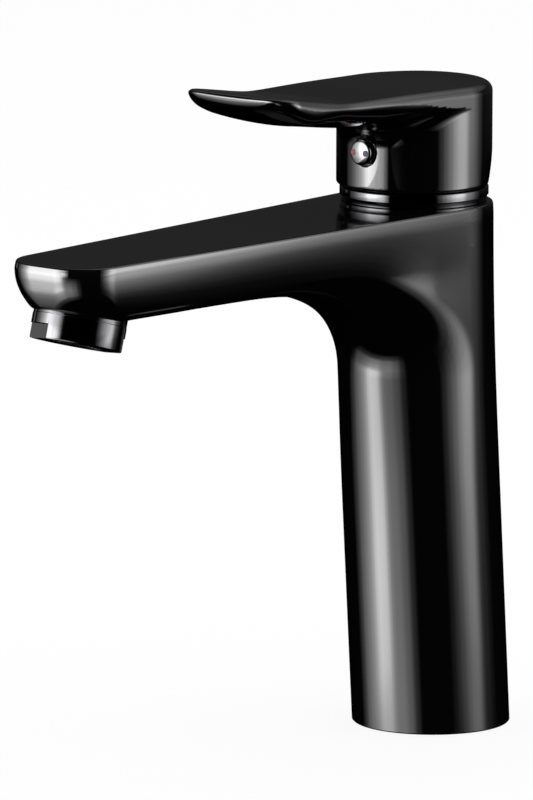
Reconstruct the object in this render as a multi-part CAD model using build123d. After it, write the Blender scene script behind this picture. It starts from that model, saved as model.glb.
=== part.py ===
from build123d import *
import math
import os

os.makedirs("parts", exist_ok=True)

# Single lever basin mixer. Millimetres, +Z up, the deck at Z = 0, the spout points to -Y.

# Body casting, outside
BODY_R = 24.0
BODY_LEAN = 4.15
BODY_TOP = 161.2
SHOULDER_FLARE = 0.8
SHOULDER_START = 88.0
HEAD_FLARE = 1.5
SPOUT_H = 16.6
SPOUT_TIP = -177.8
SPOUT_TIP_HALF = 17.4
SPOUT_CORNER_R = 12.5
TIP_RAKE = 4.8
TIP_DRAFT = 2.6
CORNER_GROWTH = 1.5
HULL_MID_UP = 8.4
HULL_MID_SHARE = 0.72
BELLY_DEPTH = 1.0
TOP_EDGE_R = 0.7
WEB_R = 44.0
WEB_ROOT = 6.0
WEB_INSET = 0.25
WEB_BITE = 0.7
WEB_STEPS = 7
BASE_EDGE = 0.4
NOSE_BACK = 3.0
NOSE_UP = 3.4

# Body casting, inside
AXIS_Y = -9.3
COLUMN_WALL = 3.6
CHAMBER_DEPTH = 41.2
CHAMBER_FLOOR_T = 16.0
NUT_STEP = 1.0
NUT_DEPTH = 11.2
WATERWAY_R = 4.3
WATERWAY_UP = 8.4
WATERWAY_ENTRY = 4.1
WATERWAY_BEND_Y = -47.0
WATERWAY_END = 5.0
INLET_X = 8.0
INLET_THREAD_R = 5.0
INLET_THREAD_DEPTH = 11.0
INLET_PORT_R = 3.2
BASE_SEAT_WALL = 2.2
BASE_SEAT_DEPTH = 8.0

# Aerator, along an axis tilted forward from straight down
AERATOR_TILT = 16.0
RIM_BACK = 14.6
RIM_DROP = 8.3
SHELL_R = 13.8
SHELL_LEN = 7.4
SHELL_EDGE = 0.4
SHELL_THREAD_R = 12.0
SHELL_THREAD_LEN = 6.0
SHELL_BORE_R = 10.3
SHELL_LIP_R = 9.2
SHELL_LIP = 1.2
FLAT_DEPTH = 2.0
FLAT_LEN = 4.4
FLAT_TURN = 30.0
BOSS_R = 14.5
BOSS_ROOT = 6.0
AERATOR_POCKET_R = 8.6
AERATOR_POCKET = 3.2
AERATOR_WASHER_T = 1.6
AERATOR_WASHER_W = 3.2
CAGE_LEN = 7.6
CAGE_WALL = 1.0
CAGE_HUB_R = 5.1
CAGE_RIB = 1.2
CAGE_RIBS = 6
CAGE_RECESS = 1.0
SCREEN_T = 0.8
SCREEN_RIM = 1.6
SCREEN_BAR = 1.0
SCREEN_PITCH = 3.1
SCREEN_SIDE_BARS = 2

# Base insert and gasket
INSERT_T = 6.5
STUD_THREAD_R = 4.0
STUD_Y = 10.8
HOSE_ROOM = 1.0
GASKET_W = 2.6

# Ceramic cartridge
CART_R = 17.5
CART_GAP = 0.7
CART_BASE_T = 6.0
PORT_R = 3.0
PORT_FRONT = 8.0
PORT_ROOM = 0.4
OUTLET_HALF = 5.0
OUTLET_IN = 6.2
OUTLET_FLOOR = 3.2
OUTLET_ROOF = 1.0
SEAL_MID_R = 4.6
SEAL_WIRE_R = 0.9
DISC_GASKET_T = 1.0
FIXED_DISC_T = 4.0
MOVING_DISC_R = 11.0
MOVING_DISC_T = 4.0
MIX_POCKET = 1.6
MIX_RIM = 4.5
CARRIER_R = 11.6
CARRIER_T = 5.0
CARRIER_FLOOR = 0.8
CARRIER_SEAL_T = 0.8
CARRIER_SEAL_W = 2.0
CARRIER_SEAL_INSET = 1.0
HOUSING_WALL = 3.25
HOUSING_NECK_R = 13.2
HOUSING_NECK_H = 7.2
ROTOR_FLANGE_T = 2.6
ROTOR_NECK_R = 10.6
ROTOR_PROUD = 1.2
ROTOR_SLOT_HALF = 4.4
PIVOT_UP = 9.5
PIN_R = 1.5
PIN_HALF = 9.6
STEM_HALF = 4.0
STEM_HEEL = 3.0
STEM_LEG_HALF = 3.0
STEM_LEG_DEEP = 2.4
STEM_FOOT_R = 3.4
STEM_FOOT_LOW = 0.9
NUT_H = 9.4
NUT_FLAT = 31.0
NUT_FLAT_H = 4.0

# Trim ring between body and lever
RING_STEP = 0.45
RING_STEP_H = 1.8
RING_BAND_H = 2.7
RING_EDGE_R = 0.4
RING_IN_R = 16.6

# Lever handle, heights counted from the lower edge of the skirt
SKIRT_R = 23.47
SKIRT_EDGE_H = 1.6
SKIRT_EDGE_W = 0.5
SKIRT_WALL = 3.07
LIP_WALL = 0.82
LIP_H = 7.4
SKIRT_DEPTH = 22.3
LIFT = 16.0
PADDLE_TIP = -94.2
PADDLE_TIP_HALF = 22.3
PADDLE_CORNER_R = 11.0
PADDLE_EDGE_R = 1.3
PADDLE_TOP = [(PADDLE_TIP, 36.1), (-85.0, 34.5), (-75.0, 32.9), (-60.0, 31.5), (-40.0, 30.9), (-10.0, 30.5)]
PADDLE_BACK = (20.0, 31.2)
PADDLE_LOW = [(-30.0, 21.5), (-46.0, 20.8), (-56.0, 21.1), (-65.0, 22.8), (-74.0, 25.6), (-84.0, 29.3)]
PADDLE_LIP_T = 3.0
SOCKET_BOSS_R = 8.6
SOCKET_UP = 4.9
STEM_COVER = 2.4
GRUB_R = 2.5
GRUB_LEN = 7.0
GRUB_HEX = 2.5
GRUB_HEX_DEPTH = 3.0
GRUB_RIB_HALF = 5.5
GRUB_RIB_DROP = 5.0
PLUG_UP = 11.9
PLUG_HOLE_R = 4.2
PLUG_R = 3.9
PLUG_LEN = 9.5
PLUG_PROUD = 2.5
PLUG_CAP = 3.1
PLUG_EDGE = 0.4
MARK_X = 2.3
MARK_W = 1.7
MARK_H = 1.9
MARK_T = 0.6

# Clearances
PART_GAP = 0.3
LEVER_GAP = 0.4
SWING_GAP = 1.0
SLIDE_GAP = 0.08
THREAD_GAP = 0.05
PIN_GAP = 0.03
SEAT_GAP = 0.05
LIP_GAP = 0.2
CUT = 1.0
FAR = 60.0

# Places that follow from the sizes
TAN_LEAN = math.tan(math.radians(BODY_LEAN))
SHOULDER_R = BODY_R + SHOULDER_FLARE
HEAD_R = BODY_R + HEAD_FLARE
SPOUT_CREASE = BODY_TOP - SPOUT_H
CHAMBER_R = CART_R + CART_GAP
CHAMBER_FLOOR = BODY_TOP - CHAMBER_DEPTH
CAVITY_TOP = CHAMBER_FLOOR - CHAMBER_FLOOR_T
NUT_BORE_R = CHAMBER_R + NUT_STEP
NUT_SEAT = BODY_TOP - NUT_DEPTH
RIM_Y = SPOUT_TIP + RIM_BACK
RIM_Z = SPOUT_CREASE - RIM_DROP
FIXED_DISC_R = CART_R - HOUSING_WALL - SEAT_GAP
CART_BASE_TOP = CHAMBER_FLOOR + CART_BASE_T
FIXED_LOW = CART_BASE_TOP + DISC_GASKET_T
FIXED_TOP = FIXED_LOW + FIXED_DISC_T
MOVING_TOP = FIXED_TOP + MOVING_DISC_T
CARRIER_LOW = MOVING_TOP + CARRIER_SEAL_T
CARRIER_TOP = CARRIER_LOW + CARRIER_T
CARRIER_MID = (CARRIER_LOW + CARRIER_TOP) / 2
ROTOR_LOW = CARRIER_TOP + PART_GAP
ROTOR_SHELF = ROTOR_LOW + ROTOR_FLANGE_T
HOUSING_TOP = NUT_SEAT + HOUSING_NECK_H
ROTOR_TOP = HOUSING_TOP + ROTOR_PROUD
PIVOT_Z = ROTOR_LOW + PIVOT_UP
TRAVEL = (PIVOT_Z - CARRIER_MID) * math.radians(LIFT)
CARRIER_Y = AXIS_Y + TRAVEL / 2
SKIRT_IN_R = SKIRT_R - SKIRT_WALL
LIP_R = SKIRT_R - LIP_WALL
RING_R = LIP_R - LIP_GAP
RING_TOP = BODY_TOP + RING_STEP_H + RING_BAND_H
SKIRT_BOTTOM = RING_TOP + LEVER_GAP
SKIRT_CEILING = SKIRT_BOTTOM + SKIRT_DEPTH
STEM_TOP = SKIRT_CEILING - STEM_COVER
PLUG_Z = SKIRT_BOTTOM + PLUG_UP
GASKET_T = BASE_SEAT_DEPTH - INSERT_T
PORTS = ((-INLET_X, 0), (INLET_X, 0), (0, -PORT_FRONT))
UPRIGHT = (Align.CENTER, Align.CENTER, Align.MIN)


def lean_y(z):
    return -z * TAN_LEAN


def disc(radius, z0, z1, y=AXIS_Y, x=0.0):
    return Pos(x, y, z0) * Cylinder(radius, z1 - z0, align=UPRIGHT)


def ring(outer, inner, z0, z1, y=AXIS_Y, x=0.0):
    return disc(outer, z0, z1, y, x) - disc(inner, z0 - CUT, z1 + CUT, y, x)


def block(x0, x1, y0, y1, z0, z1):
    box = Box(x1 - x0, y1 - y0, z1 - z0, align=(Align.MIN, Align.MIN, Align.MIN))
    return Pos(x0, y0, z0) * box


def leaning(radius, z0, z1, top_radius=None):
    low = Plane((0, lean_y(z0), z0)) * Circle(radius)
    high = Plane((0, lean_y(z1), z1)) * Circle(top_radius or radius)
    return loft([low, high], ruled=True)


# Plan outline with a round back, straight sides running in to the tip and rounded tip corners
def tongue(back_y, back_r, tip_y, tip_half, corner_r, z):
    cx = tip_half - corner_r
    cy = tip_y + corner_r
    reach = math.hypot(cx, cy - back_y)
    turn = math.atan2(cy - back_y, cx) + math.acos((back_r - corner_r) / reach)
    nx = math.cos(turn)
    ny = math.sin(turn)
    mid = (turn - math.pi / 2) / 2
    side = (back_r * nx, back_y + back_r * ny)
    corner = (cx + corner_r * nx, cy + corner_r * ny)
    bend = (cx + corner_r * math.cos(mid), cy + corner_r * math.sin(mid))
    right = Line(side, corner) + ThreePointArc(corner, bend, (cx, tip_y))
    front = Line((cx, tip_y), (-cx, tip_y))
    left = ThreePointArc((-cx, tip_y), (-bend[0], bend[1]), (-corner[0], corner[1]))
    left += Line((-corner[0], corner[1]), (-side[0], side[1]))
    back = ThreePointArc((-side[0], side[1]), (0, back_y + back_r), side)
    return Pos(0, 0, z) * make_face(right + front + left + back)


def low_half_width(y):
    root_y = lean_y(SPOUT_CREASE)
    tip_y = SPOUT_TIP + TIP_RAKE + SPOUT_CORNER_R + CORNER_GROWTH
    slope = (SPOUT_TIP_HALF - TIP_DRAFT - SHOULDER_R) / (tip_y - root_y)
    return SHOULDER_R + slope * (y - root_y)


def web_section(y, z, turn, half, belly, depth):
    plane = Plane(origin=(0, y, z), x_dir=(1, 0, 0), z_dir=(0, -math.sin(turn), math.cos(turn)))
    outline = EllipticalCenterArc((0, belly), half, belly, 180, arc_size=180)
    outline += Polyline((half, belly), (half, depth), (-half, depth), (-half, belly))
    return plane * make_face(outline)


# Belly under the spout, bending down in a wide curve and growing into the round front of the column
def web():
    lean = math.radians(BODY_LEAN)
    under = SPOUT_CREASE - BELLY_DEPTH
    cz = under - WEB_R
    cy = lean_y(cz) - BODY_R - WEB_R / math.cos(lean)
    belly = BELLY_DEPTH + WEB_BITE
    start = RIM_Y + SHELL_R - 2 * CUT
    half = low_half_width(start) - WEB_INSET
    nose_end = web_section(start, under, math.pi / 2, half, belly, BELLY_DEPTH + WEB_ROOT)
    sections = []
    for i in range(WEB_STEPS + 1):
        turn = math.pi / 2 + (lean - math.pi / 2) * i / WEB_STEPS
        ease = (1 - math.cos(math.pi * i / WEB_STEPS)) / 2
        y = cy + WEB_R * math.cos(turn)
        z = cz + WEB_R * math.sin(turn)
        half = low_half_width(y) - WEB_INSET
        up = (SPOUT_CREASE + WEB_ROOT - z) / math.sin(turn)
        across = (lean_y(z) - y) / max(math.cos(turn), 0.01)
        round_depth = belly + (half - belly) * ease
        depth = max(min(up, across), round_depth + CUT)
        sections.append(web_section(y, z, turn, half, round_depth, depth))
    return loft(sections) + loft([nose_end, sections[0]], ruled=True)


def on_aerator(solid):
    tilt = math.radians(AERATOR_TILT)
    plane = Plane(origin=(0, RIM_Y, RIM_Z), x_dir=(1, 0, 0), z_dir=(0, math.sin(tilt), math.cos(tilt)))
    return plane.location * solid


def spout_section(z, share):
    rest = 1 - share
    return tongue(
        lean_y(z),
        SHOULDER_R + (HEAD_R - SHOULDER_R) * share,
        SPOUT_TIP + TIP_RAKE * rest,
        SPOUT_TIP_HALF - TIP_DRAFT * rest,
        SPOUT_CORNER_R + CORNER_GROWTH * rest,
        z,
    )


# Head and spout in one drafted hull, cut square to the aerator below the nose
def spout_blank():
    levels = ((SPOUT_CREASE, 0.0), (SPOUT_CREASE + HULL_MID_UP, HULL_MID_SHARE), (BODY_TOP, 1.0))
    blank = loft([spout_section(z, share) for z, share in levels])
    rise = math.tan(math.radians(AERATOR_TILT))
    heel = (SPOUT_TIP + NOSE_BACK + NOSE_UP / rise, SPOUT_CREASE)
    toe = (heel[0] - FAR, SPOUT_CREASE)
    wedge = Polyline(heel, toe, (toe[0], SPOUT_CREASE + FAR * rise), close=True)
    blank -= extrude(Plane.YZ * make_face(wedge), FAR, both=True)
    return fillet(blank.edges().group_by(Axis.Z)[-1], TOP_EDGE_R)


# Drilled way from the cartridge outlet up into the spout and along it to the aerator
def waterway():
    level = SPOUT_CREASE + WATERWAY_UP
    bend = Vector(0, WATERWAY_BEND_Y, level)
    entry = Vector(0, AXIS_Y - CHAMBER_R + 2 * CUT, CHAMBER_FLOOR + WATERWAY_ENTRY)
    end = Vector(0, RIM_Y + WATERWAY_END, level)
    bore = Pos(bend) * Sphere(WATERWAY_R)
    for start, stop in ((entry, bend), (bend, end)):
        leg = Plane(start, z_dir=stop - start)
        bore += leg * Cylinder(WATERWAY_R, (stop - start).length, align=UPRIGHT)
    return bore


def body_casting():
    column = leaning(BODY_R, 0, SHOULDER_START)
    column = chamfer(column.edges().group_by(Axis.Z)[0], BASE_EDGE)
    column += leaning(BODY_R, SHOULDER_START, SPOUT_CREASE, SHOULDER_R)
    body = spout_blank() + column + web()
    body += on_aerator(disc(BOSS_R, SHELL_LEN, SHELL_LEN + BOSS_ROOT, 0))
    body -= leaning(BODY_R - COLUMN_WALL, -CUT, CAVITY_TOP)
    body -= disc(BODY_R - BASE_SEAT_WALL, -CUT, BASE_SEAT_DEPTH, 0)
    body -= disc(CHAMBER_R, CHAMBER_FLOOR, BODY_TOP + CUT)
    body -= disc(NUT_BORE_R, NUT_SEAT, BODY_TOP + CUT)
    for x in (-INLET_X, INLET_X):
        body -= disc(INLET_THREAD_R, CAVITY_TOP - CUT, CAVITY_TOP + INLET_THREAD_DEPTH, AXIS_Y, x)
        body -= disc(INLET_PORT_R, CAVITY_TOP, CHAMBER_FLOOR + CUT, AXIS_Y, x)
    body -= waterway()
    seat_top = SHELL_LEN + SHELL_THREAD_LEN + AERATOR_WASHER_T
    body -= on_aerator(disc(SHELL_THREAD_R + THREAD_GAP, SHELL_LEN - CUT, seat_top, 0))
    body -= on_aerator(disc(AERATOR_POCKET_R, seat_top - CUT, seat_top + AERATOR_POCKET, 0))
    return body


# The casting in three stretches: hollow column, floor with the hose inlets, head with the spout
def body_stretch(body, z0, z1):
    return body & block(-FAR, FAR, SPOUT_TIP - FAR, FAR, z0, z1)


# Threaded plate that closes the foot of the column, with a slot for the two hoses
def base_insert():
    radius = BODY_R - BASE_SEAT_WALL - SEAT_GAP
    plate = disc(radius, GASKET_T, BASE_SEAT_DEPTH, 0)
    plate -= disc(STUD_THREAD_R, 0, BASE_SEAT_DEPTH + CUT, STUD_Y)
    width = 2 * (INLET_THREAD_R + HOSE_ROOM)
    slot = extrude(SlotOverall(2 * INLET_X + width, width), BASE_SEAT_DEPTH + CUT)
    return plate - Pos(0, AXIS_Y, 0) * slot


def base_gasket():
    outer = BODY_R - BASE_SEAT_WALL - PART_GAP
    return ring(outer, outer - GASKET_W, 0, GASKET_T, 0)


def trim_ring():
    band_low = BODY_TOP + RING_STEP_H
    band = ring(RING_R, RING_IN_R, band_low, RING_TOP)
    band += ring(RING_R - RING_STEP, RING_IN_R, BODY_TOP, band_low)
    top_edges = band.edges().filter_by(GeomType.CIRCLE).group_by(Axis.Z)[-1]
    return fillet(top_edges.sort_by(SortBy.RADIUS)[-1], RING_EDGE_R)


def cartridge_nut():
    top = NUT_SEAT + NUT_H
    nut = ring(NUT_BORE_R - THREAD_GAP, HOUSING_NECK_R + PART_GAP, NUT_SEAT, top)
    hexagon = extrude(RegularPolygon(NUT_FLAT / 2, 6, major_radius=False), NUT_FLAT_H + CUT)
    cap = disc(NUT_BORE_R + CUT, top - NUT_FLAT_H, top + CUT)
    return nut - (cap - Pos(0, AXIS_Y, top - NUT_FLAT_H) * hexagon)


def seal_groove(x):
    outer = SEAL_MID_R + SEAL_WIRE_R + SEAT_GAP
    inner = SEAL_MID_R - SEAL_WIRE_R - SEAT_GAP
    return ring(outer, inner, CHAMBER_FLOOR - CUT, CHAMBER_FLOOR + 2 * SEAL_WIRE_R + SEAT_GAP, AXIS_Y, x)


def cartridge_base():
    base = disc(CART_R, CHAMBER_FLOOR, CART_BASE_TOP)
    low = CHAMBER_FLOOR + OUTLET_FLOOR
    front = AXIS_Y - CART_R - CUT
    base -= block(-OUTLET_HALF, OUTLET_HALF, front, AXIS_Y - OUTLET_IN, low, CART_BASE_TOP - OUTLET_ROOF)
    base -= disc(PORT_R, low, CART_BASE_TOP + CUT, AXIS_Y - PORT_FRONT)
    for x in (-INLET_X, INLET_X):
        base -= disc(PORT_R, CHAMBER_FLOOR - CUT, CART_BASE_TOP + CUT, AXIS_Y, x)
        base -= seal_groove(x)
    return base


def port_seal(x):
    return Pos(x, AXIS_Y, CHAMBER_FLOOR + SEAL_WIRE_R) * Torus(SEAL_MID_R, SEAL_WIRE_R)


def ported_plate(z0, z1, port_r):
    plate = disc(FIXED_DISC_R, z0, z1)
    for x, y in PORTS:
        plate -= disc(port_r, z0 - CUT, z1 + CUT, AXIS_Y + y, x)
    return plate


def disc_gasket():
    return ported_plate(CART_BASE_TOP, FIXED_LOW, PORT_R + PORT_ROOM)


def fixed_disc():
    return ported_plate(FIXED_LOW, FIXED_TOP, PORT_R)


def moving_disc():
    plate = disc(MOVING_DISC_R, FIXED_TOP, MOVING_TOP, CARRIER_Y)
    return plate - disc(MOVING_DISC_R - MIX_RIM, FIXED_TOP - CUT, FIXED_TOP + MIX_POCKET, CARRIER_Y)


def carrier_seal():
    outer = MOVING_DISC_R - CARRIER_SEAL_INSET
    return ring(outer, outer - CARRIER_SEAL_W, MOVING_TOP, CARRIER_LOW, CARRIER_Y)


def disc_carrier():
    plate = disc(CARRIER_R, CARRIER_LOW, CARRIER_TOP, CARRIER_Y)
    reach = STEM_FOOT_R + SLIDE_GAP
    half = STEM_HALF + PART_GAP
    floor = CARRIER_LOW + CARRIER_FLOOR
    return plate - block(-half, half, AXIS_Y - reach, AXIS_Y + reach, floor, CARRIER_TOP + CUT)


def cartridge_housing():
    shell = disc(CART_R, CART_BASE_TOP, NUT_SEAT)
    shell += disc(HOUSING_NECK_R, NUT_SEAT, HOUSING_TOP)
    shell -= disc(CART_R - HOUSING_WALL, CART_BASE_TOP - CUT, ROTOR_SHELF + PART_GAP)
    return shell - disc(ROTOR_NECK_R + SLIDE_GAP, CART_BASE_TOP, HOUSING_TOP + CUT)


def pin_body(radius, half):
    return Pos(0, AXIS_Y, PIVOT_Z) * Rot(0, 90, 0) * Cylinder(radius, 2 * half)


# Turning core of the cartridge, with a slot that lets the stem tip about the pin
def cartridge_rotor():
    rotor = disc(CART_R - HOUSING_WALL - SEAT_GAP - PART_GAP, ROTOR_LOW, ROTOR_SHELF)
    rotor += disc(ROTOR_NECK_R, ROTOR_LOW, ROTOR_TOP)
    tip = math.tan(math.radians(LIFT))
    near = STEM_HALF + SWING_GAP
    wedge = Polyline(
        (AXIS_Y - near, ROTOR_TOP + CUT),
        (AXIS_Y + near + (ROTOR_TOP - PIVOT_Z) * tip, ROTOR_TOP + CUT),
        (AXIS_Y + near, PIVOT_Z),
        (AXIS_Y + near, ROTOR_LOW - CUT),
        (AXIS_Y - near - (PIVOT_Z - ROTOR_LOW) * tip, ROTOR_LOW - CUT),
        (AXIS_Y - near, PIVOT_Z),
        close=True,
    )
    rotor -= extrude(Plane.YZ * make_face(wedge), ROTOR_SLOT_HALF, both=True)
    return rotor - pin_body(PIN_R + THREAD_GAP, PIN_HALF + THREAD_GAP)


def stem_pin():
    return pin_body(PIN_R, PIN_HALF)


def lever_stem():
    stem = block(-STEM_HALF, STEM_HALF, AXIS_Y - STEM_HALF, AXIS_Y + STEM_HALF, PIVOT_Z - STEM_HEEL, STEM_TOP)
    deep = STEM_LEG_DEEP
    stem += block(-STEM_LEG_HALF, STEM_LEG_HALF, AXIS_Y - deep, AXIS_Y + deep, CARRIER_MID, PIVOT_Z)
    foot = Pos(0, AXIS_Y, CARRIER_MID) * Rot(0, 90, 0) * Cylinder(STEM_FOOT_R, 2 * STEM_HALF)
    floor = CARRIER_MID - STEM_FOOT_LOW
    stem += foot - block(-FAR, FAR, AXIS_Y - FAR, AXIS_Y + FAR, floor - FAR, floor)
    return stem - pin_body(PIN_R + PIN_GAP, PIN_HALF)


def above_skirt(point):
    return (point[0], SKIRT_BOTTOM + point[1])


# Flat lever of the handle: the plan outline met with a side profile that thins and curls up to its lip
def paddle():
    outline = tongue(AXIS_Y, SKIRT_R, PADDLE_TIP, PADDLE_TIP_HALF, PADDLE_CORNER_R, SKIRT_BOTTOM)
    top = [above_skirt(point) for point in PADDLE_TOP]
    low = [above_skirt(point) for point in PADDLE_LOW]
    back = above_skirt(PADDLE_BACK)
    lip = (top[0][0], top[0][1] - PADDLE_LIP_T)
    side = Spline(*top) + Line(top[-1], back)
    side += Polyline(back, (back[0], low[0][1]), low[0])
    side += Spline(*low, lip) + Line(lip, top[0])
    blank = extrude(outline, FAR) & extrude(Plane.YZ * make_face(side), FAR, both=True)
    crown = [face for face in blank.faces() if face.normal_at().Z > 0.8]
    inner = [edge for edge in crown[0].edges() if edge in crown[-1].edges()]
    rim = [edge for face in crown for edge in face.edges() if edge not in inner]
    return fillet(rim, PADDLE_EDGE_R)


# Space swept by the rim of the body when the lever is lifted, taken from the back of the skirt
def lift_relief():
    slab = block(-FAR, FAR, AXIS_Y - FAR, AXIS_Y + FAR, PIVOT_Z - FAR, BODY_TOP + LEVER_GAP)
    pivot = Pos(0, AXIS_Y, PIVOT_Z)
    return pivot * Rot(LIFT, 0, 0) * pivot.inverse() * slab


def handle_shell():
    shell = disc(SKIRT_R, SKIRT_BOTTOM + SKIRT_EDGE_H, SKIRT_CEILING) + paddle()
    edge = Cone(SKIRT_R - SKIRT_EDGE_W, SKIRT_R, SKIRT_EDGE_H, align=UPRIGHT)
    shell += Pos(0, AXIS_Y, SKIRT_BOTTOM) * edge
    shell -= disc(LIP_R, SKIRT_BOTTOM - CUT, SKIRT_BOTTOM + LIP_H)
    shell -= disc(SKIRT_IN_R, SKIRT_BOTTOM - CUT, SKIRT_CEILING)
    shell += disc(SOCKET_BOSS_R, SKIRT_BOTTOM + SOCKET_UP, SKIRT_CEILING + CUT)
    half = GRUB_RIB_HALF
    shell += block(-half, half, AXIS_Y - SKIRT_IN_R - CUT, AXIS_Y, PLUG_Z - GRUB_RIB_DROP, SKIRT_CEILING + CUT)
    hole = STEM_HALF + SEAT_GAP
    shell -= block(-hole, hole, AXIS_Y - hole, AXIS_Y + hole, SKIRT_BOTTOM, STEM_TOP + SEAT_GAP)
    front = Pos(0, AXIS_Y - SKIRT_R, PLUG_Z) * Rot(-90, 0, 0)
    shell -= front * Cylinder(PLUG_HOLE_R, PLUG_LEN - PLUG_PROUD, align=UPRIGHT)
    shell -= front * Cylinder(GRUB_R + THREAD_GAP, SKIRT_R, align=UPRIGHT)
    return shell - lift_relief()


def handle_grub_screw():
    tip = Pos(0, AXIS_Y - STEM_HALF, PLUG_Z) * Rot(90, 0, 0)
    socket = extrude(RegularPolygon(GRUB_HEX / 2, 6, major_radius=False), GRUB_HEX_DEPTH + CUT)
    return tip * (Cylinder(GRUB_R, GRUB_LEN, align=UPRIGHT) - Pos(0, 0, GRUB_LEN - GRUB_HEX_DEPTH) * socket)


def plug_face():
    return Pos(0, AXIS_Y - SKIRT_R - PLUG_PROUD, PLUG_Z) * Rot(-90, 0, 0)


def index_mark(x):
    return plug_face() * Pos(x, 0, 0) * extrude(Ellipse(MARK_W / 2, MARK_H / 2), MARK_T)


def index_plug():
    cap = Cylinder(PLUG_R, PLUG_LEN, align=UPRIGHT)
    cap = chamfer(cap.edges().group_by(Axis.Z)[0], PLUG_EDGE)
    cap += Pos(0, 0, PLUG_CAP) * Cylinder(PLUG_HOLE_R - SEAT_GAP, PLUG_LEN - PLUG_CAP, align=UPRIGHT)
    return plug_face() * cap - index_mark(-MARK_X) - index_mark(MARK_X)


def aerator_housing():
    shell = disc(SHELL_R, 0, SHELL_LEN, 0)
    shell = chamfer(shell.edges().group_by(Axis.Z)[0], SHELL_EDGE)
    top = SHELL_LEN + SHELL_THREAD_LEN
    shell += disc(SHELL_THREAD_R, SHELL_LEN, top, 0)
    shell -= disc(SHELL_LIP_R, -CUT, top, 0)
    shell -= disc(SHELL_BORE_R, SHELL_LIP, top + CUT, 0)
    for turn in (0, 180):
        cut = block(-FAR, FAR, -FAR, FLAT_DEPTH - SHELL_R, -CUT, FLAT_LEN)
        shell -= Rot(0, 0, turn - FLAT_TURN) * cut
    return on_aerator(shell)


def aerator_washer():
    low = SHELL_LEN + SHELL_THREAD_LEN
    outer = SHELL_THREAD_R - SLIDE_GAP
    return on_aerator(ring(outer, outer - AERATOR_WASHER_W, low, low + AERATOR_WASHER_T, 0))


# Flow straightener cup held between the lip of the shell and the washer
def aerator_cage():
    outer = SHELL_BORE_R - SLIDE_GAP
    low = SHELL_LIP + SCREEN_T
    rib_low = low + CAGE_RECESS
    rib_top = low + CAGE_LEN - CAGE_RECESS
    cup = ring(outer, outer - CAGE_WALL, low, low + CAGE_LEN, 0)
    cup += ring(CAGE_HUB_R, CAGE_HUB_R - CAGE_RIB, rib_low, rib_top, 0)
    half = CAGE_RIB / 2
    rib = block(CAGE_HUB_R - half, outer - CAGE_WALL / 2, -half, half, rib_low, rib_top)
    for i in range(CAGE_RIBS):
        cup += Rot(0, 0, 360 * i / CAGE_RIBS) * rib
    return on_aerator(cup)


def aerator_screen():
    outer = SHELL_BORE_R - SLIDE_GAP
    top = SHELL_LIP + SCREEN_T
    grid = ring(outer, outer - SCREEN_RIM, SHELL_LIP, top, 0)
    field = disc(outer - SCREEN_RIM / 2, SHELL_LIP, top, 0)
    half = SCREEN_BAR / 2
    for i in range(-SCREEN_SIDE_BARS, SCREEN_SIDE_BARS + 1):
        mid = i * SCREEN_PITCH
        bar = block(-FAR, FAR, mid - half, mid + half, SHELL_LIP, top)
        grid += bar & field
        grid += (Rot(0, 0, 90) * bar) & field
    return on_aerator(grid)


CASTING = body_casting()
PARTS = {
    "body_column": lambda: body_stretch(CASTING, 0, CAVITY_TOP),
    "body_inlet_floor": lambda: body_stretch(CASTING, CAVITY_TOP, CHAMBER_FLOOR),
    "body_head_and_spout": lambda: body_stretch(CASTING, CHAMBER_FLOOR, BODY_TOP),
    "base_insert": base_insert,
    "base_gasket": base_gasket,
    "trim_ring": trim_ring,
    "cartridge_nut": cartridge_nut,
    "cartridge_housing": cartridge_housing,
    "cartridge_base": cartridge_base,
    "hot_port_seal": lambda: port_seal(-INLET_X),
    "cold_port_seal": lambda: port_seal(INLET_X),
    "disc_gasket": disc_gasket,
    "fixed_disc": fixed_disc,
    "moving_disc": moving_disc,
    "carrier_seal": carrier_seal,
    "disc_carrier": disc_carrier,
    "cartridge_rotor": cartridge_rotor,
    "stem_pin": stem_pin,
    "lever_stem": lever_stem,
    "handle_shell": handle_shell,
    "handle_grub_screw": handle_grub_screw,
    "index_plug": index_plug,
    "index_mark_hot": lambda: index_mark(-MARK_X),
    "index_mark_cold": lambda: index_mark(MARK_X),
    "aerator_housing": aerator_housing,
    "aerator_washer": aerator_washer,
    "aerator_cage": aerator_cage,
    "aerator_screen": aerator_screen,
}

for name, make in PARTS.items():
    export_step(make(), f"parts/{name}.step")
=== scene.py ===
import math

import bmesh
import bpy
import numpy as np
from mathutils import Matrix, Vector


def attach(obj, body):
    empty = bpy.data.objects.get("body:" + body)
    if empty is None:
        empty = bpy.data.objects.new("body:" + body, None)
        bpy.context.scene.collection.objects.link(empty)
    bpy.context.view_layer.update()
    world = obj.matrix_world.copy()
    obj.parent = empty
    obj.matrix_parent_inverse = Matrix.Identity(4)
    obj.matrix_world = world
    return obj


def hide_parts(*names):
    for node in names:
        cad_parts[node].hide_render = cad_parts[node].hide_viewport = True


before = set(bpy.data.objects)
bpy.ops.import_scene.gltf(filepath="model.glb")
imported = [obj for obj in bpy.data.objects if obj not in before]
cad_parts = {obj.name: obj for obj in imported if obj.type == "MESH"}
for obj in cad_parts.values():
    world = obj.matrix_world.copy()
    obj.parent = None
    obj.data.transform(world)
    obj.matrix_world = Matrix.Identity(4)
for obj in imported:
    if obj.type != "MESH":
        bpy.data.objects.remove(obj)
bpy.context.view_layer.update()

# Body casting: column, head and spout, one hollow brass casting, ground smooth and sprayed
# gloss black. It stands on its foot, and the lever, ring and aerator are fixed to it.
# All lengths of the shapes below are millimetres; a mesh is brought to metres as it is made.
MM = 0.001
COLUMN_R = 24.0
LEAN = math.radians(4.15)
BODY_TOP = 161.2
TOP_EDGE_R = 0.7
TOP_LINE = BODY_TOP - TOP_EDGE_R
TOP_BAND = 0.5
FLARE_START = 88.0
HEAD_FLARE = 1.5
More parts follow.
